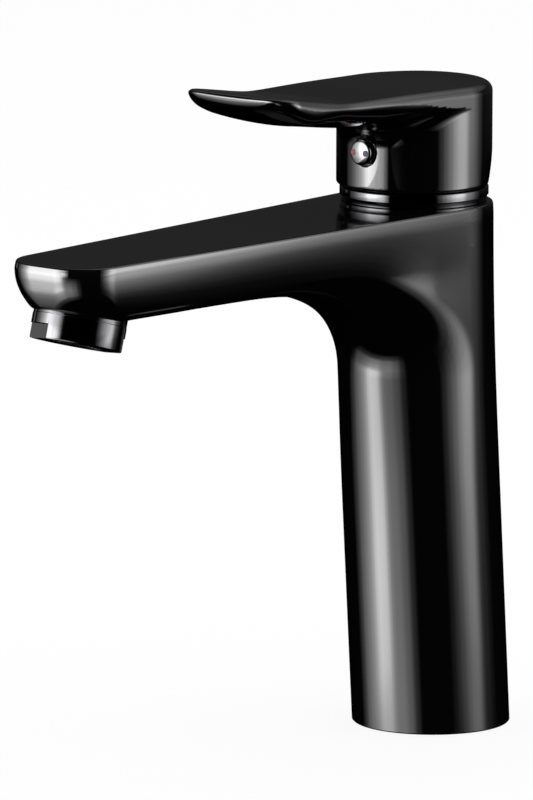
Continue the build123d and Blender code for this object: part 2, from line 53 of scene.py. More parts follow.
FLARE_POWER = 2.3
HEAD_CROWN = 0.22
CROWN_H = 5.0
WAIST = 1.3
WAIST_FRONT = (-150.0, -75.0)
WAIST_BACK = (-60.0, -26.0)
SPOUT_H = 16.6
SPOUT_CREASE = BODY_TOP - SPOUT_H
UNDERSIDE_DROP = 1.45
UNDERSIDE = SPOUT_CREASE - UNDERSIDE_DROP
WALL_BULGE = 0.84
TOP_INSET = 0.08
RUN_OUT = 0.5
NOSE_TIP_Y = -171.74
NOSE_TIP_SWELL = 6.0
NOSE_HALF = 14.2
NOSE_HALF_SWELL = 3.2
NOSE_CORNER_R = 14.0
NOSE_CORNER_SHRINK = 1.5
NOSE_ROUND = 1.2
NOSE_FLATNESS = 5.0
NOSE_TILT = math.radians(16.0)
NOSE_LOW = (-174.8, 147.45)
NOSE_BLEND = 1.0
BELLY_DEPTH = 2.2
BELLY_FLATNESS = 6.0
ROUND_FLATNESS = 2.0
BEAD = 0.16
BEAD_START = (0.0, 0.12)
BEAD_STOP = (0.7, 0.95)
BEAD_FADE = (0.2, 0.9)
TAPER_LOW = 71.4
WEB_LONG = 93.0
WEB_HIGH = 38.1
WEB_SQUARE = 2.6
WEB_ROUNDING = 2.4
WEB_Z = UNDERSIDE - WEB_HIGH
WEB_SLANT = (WEB_HIGH / WEB_LONG) ** WEB_SQUARE * math.tan(LEAN)
WEB_END = math.atan(WEB_SLANT ** (1.0 / (WEB_SQUARE - 1.0)))
FOOT_EDGE = 0.4


# Distance to the web from the middle of the hollow under the spout: a squared-off ellipse that
# ends where it runs along the front of the leaning column
def web_reach(turn):
    along, up = math.cos(turn) / WEB_LONG, math.sin(turn) / WEB_HIGH
    return (along ** WEB_SQUARE + up ** WEB_SQUARE) ** (-1.0 / WEB_SQUARE)


def axis_y(z):
    return -z * math.tan(LEAN)


COLUMN_TOP = WEB_Z + web_reach(WEB_END) * math.sin(WEB_END)
WEB_Y = axis_y(COLUMN_TOP) - COLUMN_R - web_reach(WEB_END) * math.cos(WEB_END)


# Eases from 0 to 1 between two values
def smooth(value, start, end):
    t = np.clip((value - start) / (end - start), 0.0, 1.0)
    return t * t * (3.0 - 2.0 * t)


def body_radius(z):
    rise = np.clip((z - FLARE_START) / (BODY_TOP - FLARE_START), 0.0, None)
    crown = np.clip((z - BODY_TOP + CROWN_H) / CROWN_H, 0.0, None)
    return COLUMN_R + HEAD_FLARE * rise ** FLARE_POWER - HEAD_CROWN * crown ** 2


# How far the spout's wall has swelled at a height: none at the crease, fully at its bulge
def wall_swell(z):
    part = np.minimum((z - SPOUT_CREASE) / SPOUT_H, 1.0)
    rising = 1.0 - ((WALL_BULGE - part) / WALL_BULGE) ** 2
    falling = 1.0 - TOP_INSET * ((part - WALL_BULGE) / (1.0 - WALL_BULGE)) ** 2
    run_out = np.expm1(np.minimum(part, 0.0) * 2.0 / WALL_BULGE / RUN_OUT) * RUN_OUT
    return np.where(part < 0.0, run_out, np.where(part < WALL_BULGE, rising, falling))


# Plan of the spout at a height: its round back, its tip, its corners and the slant of its sides
def spout_plan(z):
    swell = wall_swell(z)
    tip_y = NOSE_TIP_Y - NOSE_TIP_SWELL * swell
    corner_r = NOSE_CORNER_R - NOSE_CORNER_SHRINK * swell
    corner_x = NOSE_HALF + NOSE_HALF_SWELL * swell - corner_r
    corner_y = tip_y + corner_r
    back_y = axis_y(z)
    back_r = body_radius(z)
    reach = np.hypot(corner_x, corner_y - back_y)
    slant = np.arctan2(corner_y - back_y, corner_x) + np.arccos((back_r - corner_r) / reach)
    return back_y, back_r, tip_y, corner_x, corner_y, corner_r, slant


# Half width of the casting at a point of its side view, before its lower edge is rounded
def side_width(y, z):
    back_y, back_r, _, _, _, _, slant = spout_plan(z)
    taper = smooth(z, TAPER_LOW, SPOUT_CREASE)
    lean_in = np.sin(slant) * taper
    across = np.sqrt(1.0 - lean_in ** 2)
    straight = (back_r - lean_in * (y - back_y)) / across
    around = np.sqrt(np.clip(back_r ** 2 - (y - back_y) ** 2, 0.0, None))
    width = np.where(y > back_y + back_r * lean_in, around, straight)
    below = 1.0 - np.minimum((z - SPOUT_CREASE) / (WALL_BULGE * SPOUT_H), 1.0)
    tuck = WAIST * np.where(below < 1.0, below ** 2, 2.0 * below - 1.0) * taper
    return width - tuck * smooth(y, *WAIST_FRONT) * (1.0 - smooth(y, *WAIST_BACK))


# Spreads points evenly along a line
def even_steps(points, count):
    run = np.concatenate([[0.0], np.cumsum(np.linalg.norm(np.diff(points, axis=0), axis=1))])
    stops = np.linspace(0.0, run[-1], count + 1)
    return np.stack([np.interp(stops, run, points[:, k]) for k in range(3)], axis=1)


BELLY_STEPS = 26
WALL_STEPS = 72
SWEEP = np.linspace(0.0, 1.0, 500)
HALVINGS = 60
FLOOR_PASSES = 8


# One half section of the casting, from the middle of its belly round to its top edge or its back
def fan_section(inner, way, depth, flatness):
    def at(q):
        return inner[0] + q * way[0], inner[1] + q * way[1]

    turn = (math.pi / 2) * SWEEP ** 2
    y, z = at(depth * (1.0 - np.cos(turn)))
    x = side_width(y, z) * np.sin(turn) ** (2.0 / flatness)
    belly = even_steps(np.stack([x, y, z], axis=1), BELLY_STEPS)
    low, high = depth, 4.0 * COLUMN_R
    for _ in range(HALVINGS):
        mid = (low + high) / 2
        y, z = at(mid)
        inside = z < TOP_LINE and y - axis_y(z) < body_radius(z)
        low, high = (mid, high) if inside else (low, mid)
    y, z = at(depth + (low - depth) * np.sin(SWEEP * math.pi / 2))
    x = side_width(y, z)
    ends_at_back = z[-1] <= TOP_LINE - 1e-6
    if ends_at_back:
        x[-1] = 0.0
    wall = even_steps(np.stack([x, y, z], axis=1), WALL_STEPS)
    return np.concatenate([belly, wall[1:]])


# Height of the spout's underside, which turns up at the nose, square to the aerator
def nose_floor(y):
    slope = NOSE_LOW[1] - (y - NOSE_LOW[0]) * math.tan(NOSE_TILT)
    lift = slope - UNDERSIDE
    return UNDERSIDE + (lift + np.sqrt(lift ** 2 + NOSE_BLEND ** 2)) / 2


# One half section of the spout or its nose: down a wall line of the hull, then in under it
def hull_section(wall_line, middle_y, depth, flatness):
    floor = UNDERSIDE
    for _ in range(FLOOR_PASSES):
        floor = nose_floor(wall_line(np.array([floor + depth]))[1])[0]
    turn = (math.pi / 2) * SWEEP ** 2
    drop = depth * (1.0 - np.cos(turn))
    x, y = wall_line(floor + drop)
    reach = np.sin(turn) ** (2.0 / flatness)
    y = middle_y + (y - middle_y) * reach
    belly = even_steps(np.stack([x * reach, y, nose_floor(y) + drop], axis=1), BELLY_STEPS)
    z = np.linspace(floor + depth, TOP_LINE, len(SWEEP))
    x, y = wall_line(z)
    wall = even_steps(np.stack([x, y, z], axis=1), WALL_STEPS)
    return np.concatenate([belly, wall[1:]])


# Wall lines of the hull, from its middle at the front round the corner and along the side
def front_line(share):
    def line(z):
        _, _, tip_y, corner_x, _, _, _ = spout_plan(z)
        return corner_x * share, tip_y

    return line


def corner_line(share):
    def line(z):
        _, _, _, corner_x, corner_y, corner_r, slant = spout_plan(z)
        turn = -math.pi / 2 + (slant + math.pi / 2) * share
        return corner_x + corner_r * np.cos(turn), corner_y + corner_r * np.sin(turn)

    return line


def side_line(share):
    def line(z):
        _, _, _, _, corner_y, corner_r, slant = spout_plan(z)
        start = corner_y + corner_r * np.sin(slant)
        y = start + (WEB_Y - start) * share
        length = smooth(share, *BEAD_START) * (1.0 - smooth(share, *BEAD_STOP))
        height = 1.0 - smooth(z - UNDERSIDE - BELLY_DEPTH, *BEAD_FADE)
        return side_width(y, z) + BEAD * length * height, y

    return line


# Distance from the column's front to its axis in a tilted plane
def column_depth(tilt):
    return COLUMN_R / (math.cos(tilt) + math.sin(tilt) * math.tan(LEAN))


MIDDLE_FRONT = -168.0
MIDDLE_CORNER = -160.0
BELLY_SETTLE = 0.3
FRONT_ROWS = 6
CORNER_ROWS = 22
SIDE_ROWS = 45
HEAD_ROWS = 29
BACK_ROWS = 12
WEB_ROWS = 33
COLUMN_ROWS = 27


# Nose and sides of the spout, in upright half sections
def spout_sections():
    rows = []
    for share in np.linspace(0.0, 1.0, FRONT_ROWS + 1):
        rows.append(hull_section(front_line(share), MIDDLE_FRONT, NOSE_ROUND, NOSE_FLATNESS))
    for share in np.linspace(0.0, 1.0, CORNER_ROWS + 1)[1:]:
        middle = MIDDLE_FRONT + (MIDDLE_CORNER - MIDDLE_FRONT) * share
        rows.append(hull_section(corner_line(share), middle, NOSE_ROUND, NOSE_FLATNESS))
    for share in np.linspace(0.0, 1.0, SIDE_ROWS + 1)[1:]:
        settle = smooth(share, 0.0, BELLY_SETTLE)
        depth = NOSE_ROUND + (BELLY_DEPTH - NOSE_ROUND) * settle
        flatness = NOSE_FLATNESS + (BELLY_FLATNESS - NOSE_FLATNESS) * settle
        middle = MIDDLE_CORNER + (WEB_Y - MIDDLE_CORNER) * share
        rows.append(hull_section(side_line(share), middle, depth, flatness))
    return rows


# Directions of the fan of half sections from the hollow under the spout: the first ones end at
# the top of the head, the rest at its back
def fan_turns():
    back_y, back_r = axis_y(TOP_LINE), float(body_radius(TOP_LINE))
    ends = list(np.linspace(WEB_Y, back_y, HEAD_ROWS + 1)[1:])
    quarter = np.linspace(0.0, math.pi / 2, BACK_ROWS + 1)[1:]
    ends += [back_y + back_r * math.sin(turn) for turn in quarter]
    to_top = [math.atan2(TOP_LINE - WEB_Z, end - WEB_Y) for end in ends]
    return to_top, list(np.linspace(to_top[-1], WEB_END, WEB_ROWS + 1)[1:])


# All half sections from the nose to the foot, and how many of them end at the top edge
def body_sections():
    rows = spout_sections()
    to_top, to_back = fan_turns()
    top_rows = len(rows) + len(to_top)
    for turn in to_top + to_back:
        part = (math.pi / 2 - turn) / (math.pi / 2 - WEB_END)
        rounding = ((1.0 - math.cos(math.pi * part)) / 2) ** WEB_ROUNDING
        way = (math.cos(turn), math.sin(turn))
        reach = web_reach(turn)
        inner = (WEB_Y + reach * way[0], WEB_Z + reach * way[1])
        depth = BELLY_DEPTH + (column_depth(WEB_END) - BELLY_DEPTH) * rounding
        flatness = ROUND_FLATNESS + (BELLY_FLATNESS - ROUND_FLATNESS) * (1.0 - rounding)
        rows.append(fan_section(inner, way, depth, flatness))
    for z in np.linspace(COLUMN_TOP, FOOT_EDGE, COLUMN_ROWS + 1)[1:]:
        tilt = WEB_END * (z - FOOT_EDGE) / (COLUMN_TOP - FOOT_EDGE)
        way = (math.cos(tilt), math.sin(tilt))
        rows.append(fan_section((axis_y(z) - COLUMN_R, z), way, column_depth(tilt), ROUND_FLATNESS))
    return np.array(rows), top_rows


# Pulls a half loop of the top edge inwards by a distance, square to the loop, to a height
def inset(loop, distance, z):
    before = np.concatenate([loop[1:2] * [-1, 1, 1], loop[:-1]])
    after = np.concatenate([loop[1:], loop[-2:-1] * [-1, 1, 1]])
    along = (after - before)[:, :2]
    along /= np.linalg.norm(along, axis=1)[:, None]
    moved = loop.copy()
    moved[:, 0] -= along[:, 1] * distance
    moved[:, 1] += along[:, 0] * distance
    moved[[0, -1], 0] = 0.0
    moved[:, 2] = z
    return moved


WELD = 0.002 * MM
SHARP_ANGLE = math.radians(38.0)


def quads(first, second):
    return [(first[i], first[i + 1], second[i + 1], second[i]) for i in range(len(first) - 1)]


# A mesh in the making: points in millimetres and faces between them
class Skin:
    def __init__(self):
        self.points = []
        self.faces = []

    def add(self, points):
        start = len(self.points)
        self.points.extend(tuple(float(c) for c in p) for p in points)
        return list(range(start, len(self.points)))

    # Rows of points become a strip of quads from each row to the next, and its mirror image
    def mirrored_rows(self, rows):
        for side in (1.0, -1.0):
            ids = [self.add(np.asarray(row) * [side, 1.0, 1.0]) for row in rows]
            for first, second in zip(ids, ids[1:]):
                self.faces += quads(first, second)

    # A turned shape: radius and height pairs spun about an axis
    def turned(self, profile, place, steps=128):
        angles = np.arange(steps) * 2.0 * math.pi / steps
        rings = []
        for radius, height in profile:
            ring = [(radius * math.cos(a), radius * math.sin(a), height) for a in angles]
            rings.append(self.add(place(p) for p in ring))
        for first, second in zip(rings, rings[1:]):
            self.faces += quads(first + first[:1], second + second[:1])
        return rings

    def finish(self, name):
        mesh = bpy.data.meshes.new(name)
        mesh.from_pydata([tuple(c * MM for c in p) for p in self.points], [], self.faces)
        shape = bmesh.new()
        shape.from_mesh(mesh)
        bmesh.ops.remove_doubles(shape, verts=shape.verts, dist=WELD)
        bmesh.ops.dissolve_degenerate(shape, edges=shape.edges, dist=WELD / 20)
        bmesh.ops.recalc_face_normals(shape, faces=shape.faces)
        shape.to_mesh(mesh)
        shape.free()
        mesh.shade_smooth()
        mesh.set_sharp_from_angle(angle=SHARP_ANGLE)
        piece = bpy.data.objects.new(name, mesh)
        bpy.context.scene.collection.objects.link(piece)
        return piece


AERATOR_RIM = (-163.2, 136.3)
TOP_EDGE_STEPS = 6
RECESS_R = 21.8
RECESS_H = 8.0
BORE_R = 20.4
BORE_H = 104.0
BORE_MIDDLE = 0.5
FOOT_PROFILE = (
    (COLUMN_R - FOOT_EDGE, 0.0), (RECESS_R, 0.0), (RECESS_R, RECESS_H), (BORE_R, RECESS_H),
    (BORE_R, BORE_H), (BORE_MIDDLE, BORE_H),
)
SOCKET_R = 13.7
SOCKET_NECK_R = 12.0
SOCKET_LOW = 7.5
SOCKET_TOP = 15.0
SOCKET_TOP_R = 13.3
SOCKET_TAPER = 1.0
SOCKET_PROFILE = (
    (SOCKET_TOP_R, SOCKET_TOP), (SOCKET_R, SOCKET_TOP - SOCKET_TAPER), (SOCKET_R, SOCKET_LOW),
    (SOCKET_NECK_R, SOCKET_LOW),
)


# A point given along and across the tilted aerator, with its height counted from the rim
def on_aerator(point):
    x, y, z = point
    lean, rise = math.sin(NOSE_TILT), math.cos(NOSE_TILT)
    return x, AERATOR_RIM[0] + y * rise + z * lean, AERATOR_RIM[1] - y * lean + z * rise


# Outside, rounded top edge, flat top, foot with its bore, and socket of the aerator
def body_mesh():
    skin = Skin()
    rows, top_rows = body_sections()
    skin.mirrored_rows(rows)
    rim = rows[:top_rows, -1]
    loops = [rim]
    for turn in np.linspace(0.0, math.pi / 2, TOP_EDGE_STEPS + 1)[1:]:
        pulled_in = TOP_EDGE_R * (1.0 - math.cos(turn))
        loops.append(inset(rim, pulled_in, TOP_LINE + TOP_EDGE_R * math.sin(turn)))
    loops.append(inset(rim, TOP_EDGE_R + TOP_BAND, BODY_TOP))
    skin.mirrored_rows(loops)
    right = skin.add(loops[-1])
    left = skin.add(loops[-1] * [-1.0, 1.0, 1.0])
    skin.faces += quads(right, left)
    foot = rows[-1]
    spokes = (foot[:, :2] - [0.0, axis_y(FOOT_EDGE)]) / COLUMN_R
    under = [foot]
    for radius, z in FOOT_PROFILE:
        level = np.full((len(foot), 1), z)
        under.append(np.concatenate([spokes * radius + [0.0, axis_y(z)], level], axis=1))
    skin.mirrored_rows(under)
    skin.turned(SOCKET_PROFILE, on_aerator)
    return skin.finish("body_skin")


body = body_mesh()
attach(body, "body")
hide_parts("body_column", "body_inlet_floor", "body_head_and_spout")


SMUDGE_DETAIL = 3.0
GRAIN_DETAIL = 2.0


# Shared by every finish: a slow smudge from handling and a fine grain
def finish_detail():
    group = bpy.data.node_groups.new("finish_detail", "ShaderNodeTree")
    group.interface.new_socket("Smudge Scale", in_out="INPUT", socket_type="NodeSocketFloat")
    group.interface.new_socket("Grain Scale", in_out="INPUT", socket_type="NodeSocketFloat")
    group.interface.new_socket("Smudge", in_out="OUTPUT", socket_type="NodeSocketFloat")
    group.interface.new_socket("Grain", in_out="OUTPUT", socket_type="NodeSocketFloat")
    inside = group.nodes.new("NodeGroupInput")
    outside = group.nodes.new("NodeGroupOutput")
    place = group.nodes.new("ShaderNodeTexCoord")
    for result, detail in (("Smudge", SMUDGE_DETAIL), ("Grain", GRAIN_DETAIL)):
        noise = group.nodes.new("ShaderNodeTexNoise")
        noise.inputs["Detail"].default_value = detail
        group.links.new(place.outputs["Object"], noise.inputs["Vector"])
        group.links.new(inside.outputs[result + " Scale"], noise.inputs["Scale"])
        group.links.new(noise.outputs["Fac"], outside.inputs[result])
    return group


DETAIL = finish_detail()
SMUDGE_SCALE = 25.0
SMUDGE_RANGE = (0.3, 0.7)
GRAIN_STRENGTH = 0.2
LACQUER_IOR = 1.9


# A finish whose colour and gloss drift a little over the surface, with a fine grain in relief.
# The gloss is its least and its greatest roughness.
def finish(name, dark, light, gloss, grain_scale, relief, metallic=0.0):
    material = bpy.data.materials.new(name)
    material.use_nodes = True
    nodes, links = material.node_tree.nodes, material.node_tree.links
    shader = nodes["Principled BSDF"]
    shader.inputs["Metallic"].default_value = metallic
    detail = nodes.new("ShaderNodeGroup")
    detail.node_tree = DETAIL
    detail.inputs["Smudge Scale"].default_value = SMUDGE_SCALE
    detail.inputs["Grain Scale"].default_value = grain_scale
    tint = nodes.new("ShaderNodeMix")
    tint.data_type = "RGBA"
    tint.inputs["A"].default_value = (*dark, 1.0)
    tint.inputs["B"].default_value = (*light, 1.0)
    links.new(detail.outputs["Smudge"], tint.inputs["Factor"])
    links.new(tint.outputs["Result"], shader.inputs["Base Color"])
    polish = nodes.new("ShaderNodeMapRange")
    polish.inputs["From Min"].default_value = SMUDGE_RANGE[0]
    polish.inputs["From Max"].default_value = SMUDGE_RANGE[1]
    polish.inputs["To Min"].default_value = gloss[0]
    polish.inputs["To Max"].default_value = gloss[1]
    links.new(detail.outputs["Smudge"], polish.inputs["Value"])
    links.new(polish.outputs["Result"], shader.inputs["Roughness"])
    bump = nodes.new("ShaderNodeBump")
    bump.inputs["Strength"].default_value = GRAIN_STRENGTH
    bump.inputs["Distance"].default_value = relief * MM
    links.new(detail.outputs["Grain"], bump.inputs["Height"])
    links.new(bump.outputs["Normal"], shader.inputs["Normal"])
    return material


gloss_black = finish(
    "gloss_black_paint", (0.003, 0.003, 0.0031), (0.0045, 0.0045, 0.0046), (0.05, 0.08), 900.0, 0.004)
gloss_black.node_tree.nodes["Principled BSDF"].inputs["IOR"].default_value = LACQUER_IOR
body.data.materials.append(gloss_black)


# Foot: a turned brass plate with the stud thread and the hose slot, and a rubber gasket below it.
# The plate is pressed into the column from below; the gasket lies loose against the deck.
brass = finish("turned_brass", (0.60, 0.42, 0.17), (0.78, 0.60, 0.30), (0.22, 0.36), 2500.0, 0.02, 1.0)
seal_rubber = finish(
    "black_seal_rubber", (0.016, 0.016, 0.016), (0.03, 0.03, 0.03), (0.55, 0.75), 3000.0, 0.03)


# Gives a finish to pieces that are shown as they are built
def dress(material, *names):
    for name in names:
        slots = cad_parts[name].data.materials
        slots.clear()
        slots.append(material)


dress(brass, "base_insert")
dress(seal_rubber, "base_gasket")


# Cartridge: moulded plastic housing, base, rotor and carrier round two lapped ceramic discs.
# It drops into the head, its base seals on the inlet floor, and the brass nut holds it down.
grey_plastic = finish(
    "grey_moulded_plastic", (0.36, 0.37, 0.39), (0.46, 0.47, 0.49), (0.38, 0.52), 1600.0, 0.02)
white_plastic = finish(
    "white_moulded_plastic", (0.74, 0.74, 0.72), (0.84, 0.84, 0.82), (0.35, 0.5), 1600.0, 0.02)
ceramic = finish("lapped_ceramic", (0.82, 0.81, 0.78), (0.90, 0.89, 0.87), (0.12, 0.2), 4000.0, 0.005)
dress(grey_plastic, "cartridge_housing")
dress(white_plastic, "cartridge_base", "cartridge_rotor", "disc_carrier")
dress(ceramic, "fixed_disc", "moving_disc")
dress(seal_rubber, "hot_port_seal", "cold_port_seal", "disc_gasket", "carrier_seal")
dress(brass, "cartridge_nut")


# Trim ring: a turned brass ring plated in black chrome, with a narrow step below its band.
# It sits on the head under the lever and hides the nut and the gap below the skirt.
AXIS_Y = -9.3
RING_TURN_STEPS = 192
# Radius and height of the corners of its turned profile, from the bore round and back
RING_PROFILE = (
    (16.6, 161.25), (21.8, 161.25), (22.0, 161.45), (22.0, 162.8), (22.15, 163.0), (22.3, 163.0),
    (22.45, 163.15), (22.45, 165.2), (22.4, 165.45), (22.25, 165.62), (22.0, 165.7), (16.6, 165.7),
    (16.6, 161.25),
)


def on_axis(point):
    return point[0], AXIS_Y + point[1], point[2]


black_chrome = finish(
    "black_chrome", (0.10, 0.10, 0.105), (0.15, 0.15, 0.155), (0.06, 0.12), 1500.0, 0.004, 1.0)
ring_skin = Skin()
ring_skin.turned(RING_PROFILE, on_axis, RING_TURN_STEPS)
ring = ring_skin.finish("trim_ring_skin")
ring.data.materials.append(black_chrome)
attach(ring, "body")
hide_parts("trim_ring")


# Stem: a square brass bar on a stainless pin, which reaches up out of the cartridge. A stainless
# grub screw clamps the lever handle to it.
stainless = finish(
    "turned_stainless", (0.52, 0.52, 0.53), (0.66, 0.66, 0.66), (0.2, 0.34), 3000.0, 0.02, 1.0)
dress(brass, "lever_stem")
dress(stainless, "stem_pin", "handle_grub_screw")


# Lever handle: one zinc die casting, a round skirt with a flat paddle that thins and curls up at
# its tip, sprayed like the body. A grub screw behind the index plug clamps it to the stem.
SKIRT_R = 23.47
SKIRT_BOTTOM = 166.1
SKIRT_LIP_R = 1.1
SKIRT_LIP_R_BACK = 1.4
SKIRT_TUCK = 1.5
SKIRT_TUCK_TOP = 178.0
SKIRT_TUCK_H = 11.0
SKIRT_BACK = (2.0, 20.0)
HOLLOW_R = 21.8
HOLLOW_TOP = 186.0
HOLLOW_TUCK = 1.8
SKIRT_MOUTH_FLARE = 0.5
SKIRT_MOUTH_TOP = 167.6
SKIRT_MOUTH_H = 1.5
PADDLE_TIP = -94.2
PADDLE_TIP_HALF = 20.9
PADDLE_CORNER_R = 7.5
PADDLE_TOP_Z = 197.1
PADDLE_TOP_RISE = 0.66
PADDLE_TOP_RISE_RUN = (-2.0, 45.0)
PADDLE_BACK_RISE = 0.15
PADDLE_BACK_RISE_RUN = (0.0, 14.0)
BEND_Y = -64.5
BEND_SLOPE = 0.158
BEND_SOFTNESS = 2.5
LIP_Z = 201.93
LIP_SOFTNESS = 0.4
PADDLE_LOW_Z = 187.0
LOW_BEND_Y = -48.5
LOW_BEND_SLOPE = 0.142
LOW_BEND_SOFTNESS = 3.0
CURL_Y = -75.0
CURL = 0.0095
CURL_POWER = 2.13
PADDLE_BELLY = 0.0105
PADDLE_BELLY_LOSS = 0.0065
PADDLE_BELLY_LOSS_RUN = (62.0, 82.0)
TOP_ROUND = 2.8
TOP_ROUND_SHARE = 0.32
KEEL_ROUND = 1.6
KEEL_ROUND_GAIN = 3.3
KEEL_ROUND_SHARE = 0.3
KEEL_ROUND_RUN = (18.0, 45.0)
NECK_ROUND = 2.5
NECK_ROUND_GAIN = 5.5
NECK_ROUND_RUN = (0.0, 22.0)
INNER_ROUND = 0.3
PIVOT_Z = 150.6
HEAD_CLEARANCE = 11.0
LIFT = math.radians(16.0)
PLUG_Z = 178.0
PLUG_HOLE_R = 4.2
PLUG_HOLE_END = -15.0


# Meeting of two half spaces with a round edge, and joining of two with a round inner corner
def rounded_meet(a, b, radius):
    corner = np.hypot(np.maximum(a + radius, 0.0), np.maximum(b + radius, 0.0))
    return corner - radius + np.minimum(np.maximum(a, b) + radius, 0.0)


def rounded_join(a, b, radius):
    return -rounded_meet(-a, -b, radius)


# A bend: zero before it, then a rise of one in one, with a soft change between
def soft_bend(run, softness):
    return softness * np.logaddexp(0.0, run / softness)


# Top: nearly level from the back, then a bend to the lip that levels off again at its edge
def paddle_top(y):
    level = PADDLE_TOP_Z + PADDLE_TOP_RISE * smooth(-y, *PADDLE_TOP_RISE_RUN)
    level = level + PADDLE_BACK_RISE * smooth(y, *PADDLE_BACK_RISE_RUN)
    bent = level + BEND_SLOPE * soft_bend(BEND_Y - y, BEND_SOFTNESS)
    return LIP_Z - soft_bend(LIP_Z - bent, LIP_SOFTNESS)


# Underside: a slow rise from the skirt, a quick one at the lip, and a belly across
def paddle_low(x, y):
    rise = LOW_BEND_SLOPE * soft_bend(LOW_BEND_Y - y, LOW_BEND_SOFTNESS)
    curl = CURL * np.clip(CURL_Y - y, 0.0, None) ** CURL_POWER
    belly = PADDLE_BELLY - PADDLE_BELLY_LOSS * smooth(-y, *PADDLE_BELLY_LOSS_RUN)
    return PADDLE_LOW_Z + rise + curl + belly * x ** 2


# Outline of the handle seen from above: round at the back, straight sides, two round corners
def handle_outline(x, y):
    ahead = y - AXIS_Y
    corner_x = PADDLE_TIP_HALF - PADDLE_CORNER_R
    corner_ahead = PADDLE_TIP + PADDLE_CORNER_R - AXIS_Y
    reach = math.hypot(corner_x, corner_ahead)
    slant = math.atan2(corner_ahead, corner_x) + math.acos((SKIRT_R - PADDLE_CORNER_R) / reach)
    around = np.hypot(x, ahead) - SKIRT_R
    straight = np.abs(x) * math.cos(slant) + ahead * math.sin(slant) - SKIRT_R
    side = np.where(ahead > SKIRT_R * math.sin(slant), around, straight)
    return rounded_meet(side, PADDLE_TIP - y, PADDLE_CORNER_R)


# Signed distance to the handle: below zero inside the metal. The paddle is joined to the skirt,
# the bottom is cut clear of the head at full lift, and the skirt is hollowed and drilled.
def handle_field(x, y, z):
    ahead = y - AXIS_Y
    behind = smooth(ahead, *SKIRT_BACK)
    around = np.hypot(x, ahead)
    outline = handle_outline(x, y)
    top = paddle_top(y)
    thick = top - paddle_low(0.0, y)
    keel_gain = np.minimum(KEEL_ROUND_GAIN, KEEL_ROUND_SHARE * thick)
    keel = KEEL_ROUND + keel_gain * smooth(-ahead, *KEEL_ROUND_RUN)
    paddle = rounded_meet(outline, paddle_low(x, y) - z, keel)
    tuck = SKIRT_TUCK * behind * np.clip((SKIRT_TUCK_TOP - z) / SKIRT_TUCK_H, 0.0, 1.0) ** 2
    neck = NECK_ROUND + NECK_ROUND_GAIN * smooth(-ahead, *NECK_ROUND_RUN)
    handle = rounded_join(paddle, around - SKIRT_R + tuck, neck)
    handle = np.maximum(handle, outline)
    handle = rounded_meet(handle, z - top, np.minimum(TOP_ROUND, TOP_ROUND_SHARE * thick))
    relief = PIVOT_Z + HEAD_CLEARANCE / math.cos(LIFT) + ahead * math.tan(LIFT)
    lip = SKIRT_LIP_R + (SKIRT_LIP_R_BACK - SKIRT_LIP_R) * behind
    handle = rounded_meet(handle, np.maximum(SKIRT_BOTTOM, relief) - z, lip)
    mouth = SKIRT_MOUTH_FLARE * np.clip((SKIRT_MOUTH_TOP - z) / SKIRT_MOUTH_H, 0.0, 1.0)
    hollow = np.maximum(around - HOLLOW_R - mouth + HOLLOW_TUCK * behind, z - HOLLOW_TOP)
    handle = rounded_meet(handle, -hollow, INNER_ROUND)
    hole = np.maximum(np.hypot(x, z - PLUG_Z) - PLUG_HOLE_R, ahead - PLUG_HOLE_END)
    return rounded_meet(handle, -hole, INNER_ROUND)


# Slope of a field at points, by small steps to both sides
def field_slope(field, points, reach=0.02):
    slope = np.empty_like(points)
    for k in range(3):
        step = np.zeros(3)
        step[k] = reach
        slope[:, k] = (field(*(points + step).T) - field(*(points - step).T)) / (2.0 * reach)
    return slope


LATTICE_STEP = 0.55
LATTICE_LOW = (-24.75, -95.6, 165.2)
LATTICE_HIGH = (24.75, 15.4, 204.0)
PULLS = 6


# Skin of a field on a lattice: one point in each cell that the surface crosses, pulled onto it
def field_skin(name, field, low, high, step):
    axes = [np.arange(a, b + step, step) for a, b in zip(low, high)]
    values = field(*np.meshgrid(*axes, indexing="ij"))
    cells = tuple(len(a) - 1 for a in axes)
    total = np.zeros((*cells, 3))
    hits = np.zeros(cells)
    crossings = []
    for axis in range(3):
        near = values.take(range(len(axes[axis]) - 1), axis)
        far = values.take(range(1, len(axes[axis])), axis)
        spots = np.argwhere((near < 0.0) != (far < 0.0))
        others = [k for k in range(3) if k != axis]
        keep = np.all((spots[:, others] > 0) & (spots[:, others] < np.array(cells)[others]), axis=1)
        spots = spots[keep]
        a, b = near[tuple(spots.T)], far[tuple(spots.T)]
        point = np.stack([axes[k][spots[:, k]] for k in range(3)], axis=1)
        point[:, axis] += step * a / (a - b)
        corners = []
        for back in ((0, 0), (1, 0), (1, 1), (0, 1)):
            cell = spots.copy()
            cell[:, others[0]] -= back[0]
            cell[:, others[1]] -= back[1]
            np.add.at(total, tuple(cell.T), point)
            np.add.at(hits, tuple(cell.T), 1)
            corners.append(cell)
        crossings.append((corners, (a < 0.0) == (axis != 1)))
    used = np.argwhere(hits > 0)
    index = np.full(cells, -1)
    index[tuple(used.T)] = np.arange(len(used))
    points = total[tuple(used.T)] / hits[tuple(used.T)][:, None]
    faces = []
    for corners, forward in crossings:
        ring_ids = np.stack([index[tuple(cell.T)] for cell in corners], axis=1)
        faces.append(np.where(forward[:, None], ring_ids, ring_ids[:, ::-1]))
    for _ in range(PULLS):
        slope = field_slope(field, points)
        points -= field(*points.T)[:, None] * slope / np.sum(slope ** 2, axis=1)[:, None]
    slope = field_slope(field, points)
    mesh = bpy.data.meshes.new(name)
    mesh.from_pydata(points * MM, [], np.concatenate(faces).tolist())
    mesh.shade_smooth()
    mesh.normals_split_custom_set_from_vertices(slope / np.linalg.norm(slope, axis=1)[:, None])
    piece = bpy.data.objects.new(name, mesh)
    bpy.context.scene.collection.objects.link(piece)
    return piece


